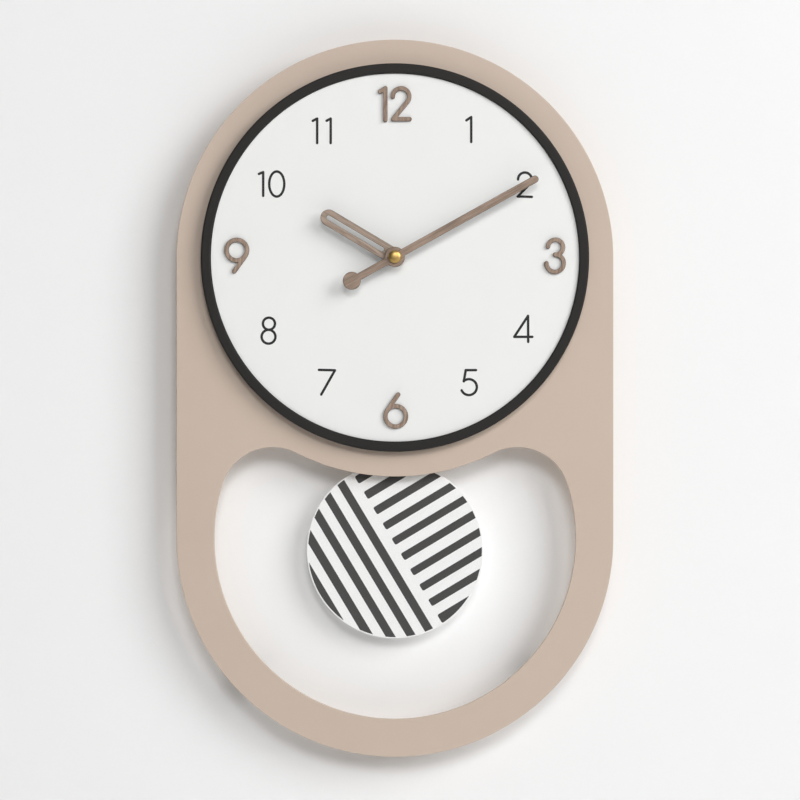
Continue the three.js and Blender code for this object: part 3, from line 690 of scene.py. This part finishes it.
def softened_copy(name, node, width, material):
    """A copy of a CAD node with its loose triangles merged and its sharp edges rounded."""
    piece = bpy.data.objects.new(name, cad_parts[node].data.copy())
    bpy.context.collection.objects.link(piece)
    form = bmesh.new()
    form.from_mesh(piece.data)
    bmesh.ops.remove_doubles(form, verts=form.verts, dist=CAD_SEAM)
    flat = math.radians(CAD_FLAT)
    bmesh.ops.dissolve_limit(form, angle_limit=flat, verts=form.verts, edges=form.edges)
    form.to_mesh(piece.data)
    form.free()
    piece.data.materials.clear()
    piece.data.materials.append(material)
    return rounded(piece, width, 2)


def case_plastic(here):
    """Black movement plastic: a coarser grain than the ring's, with paler rubbed patches."""
    spark = here.grain(0.5, 3)
    rub = here.grain(14, 3).step(0.45, 0.75)
    return {
        "Base Color": (0.5 * spark + 0.5 * rub).between(colour(30, 30, 32), colour(52, 52, 55)),
        "Roughness": 0.58 - 0.14 * rub,
        "Normal": spark.bump(0.04, 0.6),
    }


def brass(here):
    """Lacquered brass: turning lines, a warm cloud of tarnish and a soft shine."""
    lines = here.drawn(0, 12).grain(0.2, 2)
    tarnish = here.grain(3.5, 3)
    return {
        "Base Color": tarnish.between(colour(206, 176, 112), colour(178, 144, 80)),
        "Metallic": 1.0,
        "Roughness": 0.3 + 0.12 * tarnish + 0.06 * lines,
        "Normal": lines.bump(0.01, 0.5),
    }


def rubber(here):
    """Black rubber: dusty, and matt all over."""
    dust = here.grain(1.1, 5, 0.7)
    return {
        "Base Color": dust.between(colour(24, 24, 24), colour(52, 50, 48)),
        "Roughness": 0.8 + 0.15 * dust,
        "Normal": dust.bump(0.05, 0.6),
    }


plastic = finish("case_plastic", case_plastic)
brass_finish = finish("brass", brass)
rubber_finish = finish("rubber", rubber)
case = softened_copy("movement_shell", "movement_case", 0.35, plastic)
fit(case, "clock_body", "black_plastic", "movement_case")
cover = softened_copy("movement_lid", "movement_cover", 0.35, plastic)
fit(cover, "clock_body", "black_plastic", "movement_cover")
washer = softened_copy("rubber_washer", "neck_washer", 0.15, rubber_finish)
fit(washer, "clock_body", "rubber", "neck_washer")
nut = softened_copy("brass_hexagon", "neck_nut", 0.25, brass_finish)
fit(nut, "clock_body", "brass", "neck_nut")

# ---- The works ----
# Moulded gears on steel arbors between the case and a resin plate, a step motor, a small circuit with
# a quartz crystal, and the hidden magnet, coil, pin and screws of the pendulum and the spacers. All of
# them keep the shape that the frame has and only take a finish.


def gear_resin(here):
    """Milky acetal resin, faintly cloudy, with a waxy gloss."""
    cloud = here.grain(2.5, 3)
    return {
        "Base Color": cloud.between(colour(232, 228, 216), colour(246, 243, 234)),
        "Roughness": 0.34 + 0.12 * cloud,
        "Normal": here.grain(0.3).bump(0.01, 0.4),
    }


def magnet_nickel(here):
    """Nickel-plated magnet, grey and slightly pitted."""
    pit = here.grain(0.5, 4)
    return {
        "Base Color": pit.between(colour(108, 106, 104), colour(150, 148, 146)),
        "Metallic": 1.0,
        "Roughness": 0.3 + 0.2 * pit,
        "Normal": pit.bump(0.02, 0.5),
    }


def copper_winding(here):
    """Enamelled copper wire laid turn by turn: fine ridges across the coil."""
    turns = here.drawn(0, 0.12).grain(1.2, 1)
    return {
        "Base Color": turns.between(colour(150, 84, 42), colour(214, 134, 78)),
        "Metallic": 1.0,
        "Roughness": 0.32 + 0.1 * turns,
        "Normal": turns.bump(0.08, 0.8),
    }


def circuit_green(here):
    """Green solder mask over a weave of glass cloth."""
    weave = here.grain(0.5, 2)
    return {
        "Base Color": weave.between(colour(30, 88, 54), colour(48, 116, 74)),
        "Roughness": 0.35 + 0.1 * weave,
        "Normal": weave.bump(0.02, 0.5),
    }


works = {
    finish("gear_resin", gear_resin): [
        "third_wheel", "seconds_wheel", "step_wheel", "motion_wheel", "hour_wheel", "train_plate",
    ],
    finish("magnet_nickel", magnet_nickel): ["rotor", "pendulum_magnet"],
    finish("copper_winding", copper_winding): ["motor_coil", "pendulum_coil"],
    finish("circuit_green", circuit_green): ["circuit_board"],
    steel: [
        "centre_wheel", "stator", "quartz_crystal", "pendulum_pin",
        "spacer_screw_left", "spacer_screw_right",
    ],
}
for material, names in works.items():
    for name in names:
        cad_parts[name].data.materials.clear()
        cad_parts[name].data.materials.append(material)

# ---- The hands and their cap ----
# Laser-cut walnut ply again: the hour hand is a long loop pressed on the hour tube, and the minute
# hand a slim bar with a round tail on the shaft. A domed brass cap holds them.

HOUR_TURN = 300.7  # clockwise from twelve, in degrees
MINUTE_TURN = 61
BOSS_R = 7.3
HAND_EDGE = 0.55
HOUR_BORE = 2.65
HOUR_HALF = 5.95  # half its width
HOUR_REACH = 62
HOUR_WOOD = ((172, 153, 137), (128, 110, 95))
SLOT_HALF = 1.6
SLOT_FROM = 11
MINUTE_BORE = 1.65
MINUTE_HALF = 2.65
MINUTE_REACH = 119
MINUTE_WOOD = ((160, 138, 121), (118, 99, 84))
TAIL = 35.8
TAIL_R = 6.5
CAP_DOME = [(0, 0), (0.55, 0.2), (0.92, 0.9)]  # share of its radius, and millimetres below its top
CAP_SKIRT = 2.1
CAP_ROOF = 1


def shouldered(half, reach, low):
    """A bar with a round end at reach, a round boss on the axis, and below it low, an outline or None."""
    shoulder = math.degrees(math.acos(half / BOSS_R))
    head = arc(0, reach - half, half, 0, 180, 6)
    if low is None:
        return [head, arc(0, 0, BOSS_R, 180 - shoulder, 360 + shoulder)]
    left = arc(0, 0, BOSS_R, 180 - shoulder, 180 + shoulder)
    right = arc(0, 0, BOSS_R, -shoulder, shoulder)
    return [head, left, low, right]


def hand(name, outlines, turn, node, material):
    """A hand drawn upright, turned clockwise to its place and cut out between its CAD node's faces."""
    angle = -math.radians(turn)
    cosine, sine = math.cos(angle), math.sin(angle)
    (_, _, back), (_, _, front) = node_box(node)
    placed = [line @ np.array([[cosine, sine], [-sine, cosine]]) for line in outlines]
    return plate(name, placed, back, front, HAND_EDGE, material)


slot_top = HOUR_REACH - HOUR_HALF
slot = outline(arc(0, slot_top, SLOT_HALF, 0, 180, 10), arc(0, SLOT_FROM, SLOT_HALF, 180, 360, 10))
hour_outline = outline(*shouldered(HOUR_HALF, HOUR_REACH, None))
hour_finish = finish("walnut_hour", walnut(HOUR_TURN, *HOUR_WOOD))
hour_outlines = [hour_outline, slot, circle(0, 0, HOUR_BORE, 10)]
hour_hand = hand("walnut_hour_hand", hour_outlines, HOUR_TURN, "hour_hand", hour_finish)
fit(hour_hand, "hour", "walnut", "hour_hand")

neck = math.degrees(math.asin(MINUTE_HALF / TAIL_R))
tail = arc(0, -TAIL, TAIL_R, 90 + neck, 450 - neck)
minute_outline = outline(*shouldered(MINUTE_HALF, MINUTE_REACH, tail))
minute_finish = finish("walnut_minute", walnut(MINUTE_TURN, *MINUTE_WOOD))
minute_outlines = [minute_outline, circle(0, 0, MINUTE_BORE, 10)]
minute_hand = hand("walnut_minute_hand", minute_outlines, MINUTE_TURN, "minute_hand", minute_finish)
fit(minute_hand, "minute", "walnut", "minute_hand")

(_, _, cap_back), (cap_r, _, cap_front) = node_box("cap_nut")
cap = softened(
    [
        *[(share * cap_r, cap_front - drop) for share, drop in CAP_DOME],
        (cap_r, cap_back + CAP_SKIRT),
        (cap_r, cap_back),
        (MINUTE_BORE, cap_back),
        (MINUTE_BORE, cap_front - CAP_ROOF),
        (0, cap_front - CAP_ROOF),
    ],
    [0, 1, 0.6, 0.3, 0.2, 0.1, 0, 0],
)
fit(turned("brass_cap", cap, brass_finish), "minute", "brass", "cap_nut")

# ---- The cell, its contacts and the setting knob ----
# One AA cell lies across the back of the case between two sprung steel contacts. Above it the ribbed
# knob that sets the hands stands out of the cover.

CELL_BAND = 9  # the coloured end of the jacket
CELL_END = 1.0
CELL_RIM = 0.6  # the flat end's rim and its dish, as shares of the cell's radius
CELL_DISH = 0.55
CELL_DISHED = 0.2
NUB_R = 2.7


def cell_jacket(here):
    """A printed foil jacket: deep blue with a copper-coloured band at the raised end."""
    across = here.part("X")
    cell_right = node_box("battery")[1][0] * MM
    band = across.step(cell_right - CELL_BAND * MM, cell_right - (CELL_BAND - 0.2) * MM)
    bare = across.step(cell_right - 1.2 * MM, cell_right - 1.1 * MM)
    crinkle = here.grain(2.5, 3)
    foil = band.between(colour(38, 54, 82), colour(196, 120, 70))
    return {
        "Base Color": bare.between(foil, colour(205, 206, 208)),
        "Metallic": 0.35 + 0.6 * bare,
        "Roughness": 0.26 + 0.14 * crinkle,
        "Normal": crinkle.bump(0.03, 0.4),
    }


cell_low, cell_high = node_box("battery")
cell_centre = (cell_low + cell_high) / 2 * (0, 1, 1)
cell_r = (cell_high - cell_low)[1] / 2
can_end = cell_high[0] - CELL_END
cell = softened(
    [
        (0, cell_high[0]),
        (NUB_R, cell_high[0]),
        (NUB_R, can_end),
        (cell_r, can_end),
        (cell_r, cell_low[0]),
        (CELL_RIM * cell_r, cell_low[0]),
        (CELL_DISH * cell_r, cell_low[0] + CELL_DISHED),
        (0, cell_low[0] + CELL_DISHED),
    ],
    [0, 0.4, 0.2, 0.9, 0.6, 0.1, 0.1, 0],
)
jacket = finish("cell_jacket", cell_jacket)
battery = turned("cell", cell, jacket, cell_centre, "x")
fit(battery, "cell", "cell_jacket", "battery")
for side in ("plus", "minus"):
    contact = softened_copy(f"sprung_{side}", f"contact_{side}", 0.1, steel)
    fit(contact, "clock_body", "steel", f"contact_{side}")
knob = softened_copy("ribbed_knob", "set_knob", 0.2, plastic)
fit(knob, "knob", "black_plastic", "set_knob")

# ---- The pendulum ----
# A resin arm swings on a steel pin inside the case, pushed by its magnet and a coil. A brass rod
# hooks over its stud, and a black clip holds the round bob, white with charcoal stripes.

ROD_EYE_R = 3.4
ROD_EYE_BORE = 1.3
ROD_EYE_T = 0.9
ROD_EYE_EDGE = 0.35
ROD_BITE = 0.9  # between the end of the wire and the eye's bore
BOB_EDGE = 0.5
STRIPE_MARGIN = 1.0  # of white between a stripe's end and the rim
STRIPE_CORNER = 1.3
STRIPE_LEAN = 59.1  # degrees of the long stripes' fall from level
# each stripe's two edges, across its own direction from the bob's middle
LONG_STRIPES = [(-99, -58.9), (-52.2, -45.7), (-38.5, -32.3), (-25.1, -18.9), (-11.8, -5.55)]
SHORT_FROM = 2.2
SHORT_STRIPES = [
    (-61.8, -55.6), (-48.7, -42.4), (-35.2, -29.2), (-21.8, -16.1), (-8.7, -3.1),
    (4.3, 10.1), (17.6, 23.2), (30.8, 36.4), (43.7, 49.5), (56.8, 99),
]


def bob_card(light, dark):
    """Card faced with embossed film: a fine woven tooth in both the white and the printed charcoal."""

    def sockets(here):
        tooth = here.grain(0.9, 2, 0.6)
        return {
            "Base Color": (0.3 * here.grain(30) + 0.7 * tooth.step(0.3, 0.7)).between(
                colour(*dark), colour(*light)
            ),
            "Roughness": 0.55 + 0.15 * tooth,
            "Normal": tooth.bump(0.06, 0.6),
        }

    return sockets


def long_stripe(r, low, high):
    """A strip across a disc: two parallel edges between two arcs of its rim, as (along, across)."""
    start, end = (math.degrees(math.asin(edge)) for edge in (low / r, high / r))
    return outline(arc(0, 0, r, start, end), arc(0, 0, r, 180 - end, 180 - start))


def short_stripe(r, low, high):
    """The same strip cut off square at SHORT_FROM, with two round corners."""
    start, end = (math.degrees(math.asin(edge)) for edge in (low / r, high / r))
    near, corner = SHORT_FROM + STRIPE_CORNER, STRIPE_CORNER
    return outline(
        arc(0, 0, r, start, end),
        arc(near, high - corner, corner, 90, 180, 15),
        arc(near, low + corner, corner, 180, 270, 15),
    )


resin = bpy.data.materials["gear_resin"]
arm = softened_copy("resin_arm", "pendulum_arm", 0.25, resin)
fit(arm, "pendulum", "gear_resin", "pendulum_arm")

(_, rod_low, rod_back), (_, rod_high, rod_front) = node_box("pendulum_rod")
eye_y = rod_high - ROD_EYE_R
rod_z, rod_r = (rod_front + rod_back) / 2, (rod_front - rod_back) / 2
wire_end = eye_y - ROD_EYE_BORE - ROD_BITE
wire = softened([(0, wire_end), (rod_r, wire_end), (rod_r, rod_low), (0, rod_low)], [0, 0.3, 0.6, 0])
eye = plate(
    "eye",
    [circle(0, eye_y, ROD_EYE_R, 8), circle(0, eye_y, ROD_EYE_BORE, 8)],
    rod_z - ROD_EYE_T,
    rod_z + ROD_EYE_T,
    ROD_EYE_EDGE,
    brass_finish,
)
rod = turned("wire", wire, brass_finish, (0, 0, rod_z), "y", sides=32)
rod = combined("brass_rod", "UNION", rod, eye)
fit(rod, "pendulum", "brass", "pendulum_rod")
clip = softened_copy("black_clip", "bob_clip", 0.5, plastic)
fit(clip, "pendulum", "black_plastic", "bob_clip")

bob_low, bob_high = node_box("pendulum_bob")
bob_x, bob_y, _ = (bob_low + bob_high) / 2
bob_r = (bob_high - bob_low)[0] / 2
white_card = finish("bob_white", bob_card((243, 243, 242), (233, 233, 232)))
bob_outline = [circle(bob_x, bob_y, bob_r, 2)]
bob = plate("white_bob", bob_outline, bob_low[2], bob_high[2], BOB_EDGE, white_card)
fit(bob, "pendulum", "bob_white", "pendulum_bob")

charcoal = finish("bob_charcoal", bob_card((68, 67, 66), (54, 53, 52)))
lean = math.radians(STRIPE_LEAN)
down, across = np.array([math.cos(lean), -math.sin(lean)]), np.array([math.sin(lean), math.cos(lean)])
printed_r = bob_r - STRIPE_MARGIN
farthest = math.sqrt(printed_r**2 - (SHORT_FROM + STRIPE_CORNER) ** 2)
stripes = [
    long_stripe(printed_r, max(low, -printed_r), high) @ np.array([down, across])
    for low, high in LONG_STRIPES
]
stripes += [
    short_stripe(printed_r, low, min(high, farthest)) @ np.array([across, down])
    for low, high in SHORT_STRIPES
]
wall = np.array([(0, bob_high[2] + INK_T), (0, bob_high[2] - INK_T)])
for i, line in enumerate(stripes, 1):
    stripe = carried(f"stripe_{i}", [line + (bob_x, bob_y)], [wall], charcoal)
    fit(stripe, "pendulum", "bob_white")

# ---- What holds the clock to the wall ----
# A steel keyhole plate is screwed to a fibreboard block glued behind the top of the board. Lower
# down, two black spacers with rubber bumpers keep the board level with it.

KEYHOLE_R = 2.5
ENTRY_R = 4.8
ENTRY_DROP = 11
PLATE_EDGE = 0.2
PLATE_CORNER = 6
HANGER_SCREW_DROP = 5
HANGER_HEAD_R = 2.8
HANGER_SCREW_R = 1.15
HANGER_SCREW_POINT = 1
HANGER_HOLE_R = 1.8
HANGER_SINK = 1.1
SPACER_BORE_R = 1.7
SPACER_WELL_R = 4  # round the head of its screw
SPACER_WELL = 12


def raw_board(here):
    """Bare fibreboard: tan felt-like fibres, darker where a saw has burnished it."""
    fibre = here.grain(0.8, 6, 0.7)
    burnish = here.grain(9, 2)
    return {
        "Base Color": (0.7 * fibre + 0.3 * burnish).between(colour(146, 112, 76), colour(196, 164, 124)),
        "Roughness": 0.78 + 0.12 * fibre,
        "Normal": fibre.bump(0.12, 0.6),
    }


def rounded_box(x0, x1, y0, y1, r):
    """A rectangle with round corners."""
    return outline(
        arc(x1 - r, y1 - r, r, 0, 90, 10),
        arc(x0 + r, y1 - r, r, 90, 180, 10),
        arc(x0 + r, y0 + r, r, 180, 270, 10),
        arc(x1 - r, y0 + r, r, 270, 360, 10),
    )


hook_y = -AXIS_UP / MM  # the frame's origin is the wall hook
(hanger_left, hanger_low, hanger_back), (hanger_right, hanger_top, hanger_front) = node_box("hanger_plate")
half = math.degrees(math.asin(KEYHOLE_R / ENTRY_R))
keyhole = outline(
    arc(0, hook_y, KEYHOLE_R, 0, 180, 10),
    arc(0, hook_y - ENTRY_DROP, ENTRY_R, 90 + half, 450 - half, 8),
)
hanger_screws = [
    (node_box(f"hanger_screw_{i}")[0][0] + HANGER_HEAD_R, hook_y - HANGER_SCREW_DROP) for i in (1, 2)
]
hanger = plate(
    "keyhole_plate",
    [
        rounded_box(hanger_left, hanger_right, hanger_low, hanger_top, PLATE_CORNER),
        keyhole,
        *[circle(x, y, HANGER_HOLE_R, 15) for x, y in hanger_screws],
    ],
    hanger_back,
    hanger_front,
    PLATE_EDGE,
    steel,
    sinks=[0, 0, HANGER_SINK, HANGER_SINK],
)
fit(hanger, "clock_body", "steel", "hanger_plate")
fibre_finish = finish("raw_board", raw_board)
block = softened_copy("fibre_block", "hanger_block", 0.6, fibre_finish)
fit(block, "clock_body", "raw_board", "hanger_block")
for i, (x, y) in enumerate(hanger_screws, 1):
    name, node = f"hanger_screw_steel_{i}", f"hanger_screw_{i}"
    cross_screw(name, node, x, y, HANGER_SCREW_R, HANGER_HEAD_R, HANGER_SCREW_POINT)

for side in ("left", "right"):
    (x0, y0, back), (x1, y1, front) = node_box(f"spacer_{side}")
    middle, r = ((x0 + x1) / 2, (y0 + y1) / 2, 0), (x1 - x0) / 2
    floor = back + SPACER_WELL
    tube = [(SPACER_BORE_R, front), (r, front), (r, back)]
    tube += [(SPACER_WELL_R, back), (SPACER_WELL_R, floor), (SPACER_BORE_R, floor)]
    tube = softened(tube, [0.1, 0.3, 0.9, 0.3, 0.2, 0.1])
    spacer = turned(f"black_spacer_{side}", tube, plastic, middle, closed=True, sides=48)
    fit(spacer, "clock_body", "black_plastic", f"spacer_{side}")
    (x0, _, back), (x1, _, front) = node_box(f"bumper_{side}")
    r = (x1 - x0) / 2
    pad = softened([(0, front), (r, front), (r, back), (0, back)], [0, 0.2, 0.8, 0])
    bumper = turned(f"rubber_bumper_{side}", pad, rubber_finish, middle, sides=48)
    fit(bumper, "clock_body", "rubber", f"bumper_{side}")

# ---- The room ----
# A pale wall and a pale floor, seen from the room's side only, so that the clock's back can be
# looked at too. A large soft light stands on the right, a small one high up behind the camera, and
# two dim ones behind the clock. The air looks pale, but lights the clock only faintly.

WALL_GAP = 0.5  # behind the clock's back
FLOOR_DROP = 1.2  # metres below the clock
ROOM = 12  # metres across
AMBIENT = 0.09
SURROUND = 0.8
LIGHTS = [  # metres across, watts and place
    ("key", 3.2, 182, (3.4, -3.4, 1.7)),
    ("fill", 1.2, 66, (0.3, -4.3, 1.5)),
    ("behind_left", 1.2, 14, (-1.6, 2.0, 0.7)),
    ("behind_right", 1.2, 14, (1.6, 2.0, 0.7)),
]


def pale_plaster(here):
    """Matt white emulsion with the faint stipple of a roller."""
    stipple = here.grain(2.5, 3)
    return {
        "Base Color": (0.5 * stipple + 0.5 * here.grain(400)).between(
            colour(238, 238, 238), colour(242, 242, 242)
        ),
        "Roughness": 0.85,
        "Normal": stipple.bump(0.05, 0.15),
    }


def stage_plane(name, centre, size, turn, material):
    """A flat square that faces +Z before it is turned about X, in metres."""
    corner = size / 2 * np.array([[-1, -1], [1, -1], [1, 1], [-1, 1]])
    cosine, sine = math.cos(turn), math.sin(turn)
    x, y = corner.T
    mesh = bpy.data.meshes.new(name)
    mesh.from_pydata((np.stack([x, y * cosine, y * sine], 1) + centre).tolist(), [], [(0, 1, 2, 3)])
    mesh.materials.append(material)
    plane = bpy.data.objects.new(name, mesh)
    bpy.context.collection.objects.link(plane)
    plane.visible_shadow = False


def soft_light(name, size, power, place, aim):
    """A square light that looks from its place at another point, in metres."""
    lamp = bpy.data.lights.new(name, "AREA")
    lamp.size = size
    lamp.energy = power
    light = bpy.data.objects.new(name, lamp)
    light.location = place
    light.rotation_euler = (Vector(aim) - Vector(place)).to_track_quat("-Z", "Y").to_euler()
    bpy.context.collection.objects.link(light)


plaster = finish("pale_plaster", pale_plaster)
tree = plaster.node_tree
room = Shade(tree)
face_side = room.add("NewGeometry", output="Backfacing")
lit = Shade(tree, tree.nodes["Principled BSDF"].outputs[0])
see_through = room.add("BsdfTransparent")
one_sided = room.add("MixShader", inputs={0: face_side, 1: lit, 2: see_through})
tree.links.new(one_sided.socket, tree.nodes["Material Output"].inputs["Surface"])

stage_plane("wall", (0, WALL_GAP * MM, 0), ROOM, math.pi / 2, plaster)
stage_plane("floor", (0, 0, cad_low.z - FLOOR_DROP), ROOM, 0, plaster)
clock_middle = (cad_low + cad_high) / 2
for name, size, power, place in LIGHTS:
    soft_light(name, size, power, place, clock_middle)

world = bpy.data.worlds.new("studio")
bpy.context.scene.world = world
world.use_nodes = True
world.node_tree.nodes.clear()
seen = Shade(world.node_tree).add("LightPath", output="Is Camera Ray")
strength = AMBIENT + (SURROUND - AMBIENT) * seen
air = seen.add("Background", inputs={"Color": (1, 1, 1, 1), "Strength": strength})
seen.add("OutputWorld", inputs={"Surface": air})
bpy.context.scene.view_settings.view_transform = "Standard"
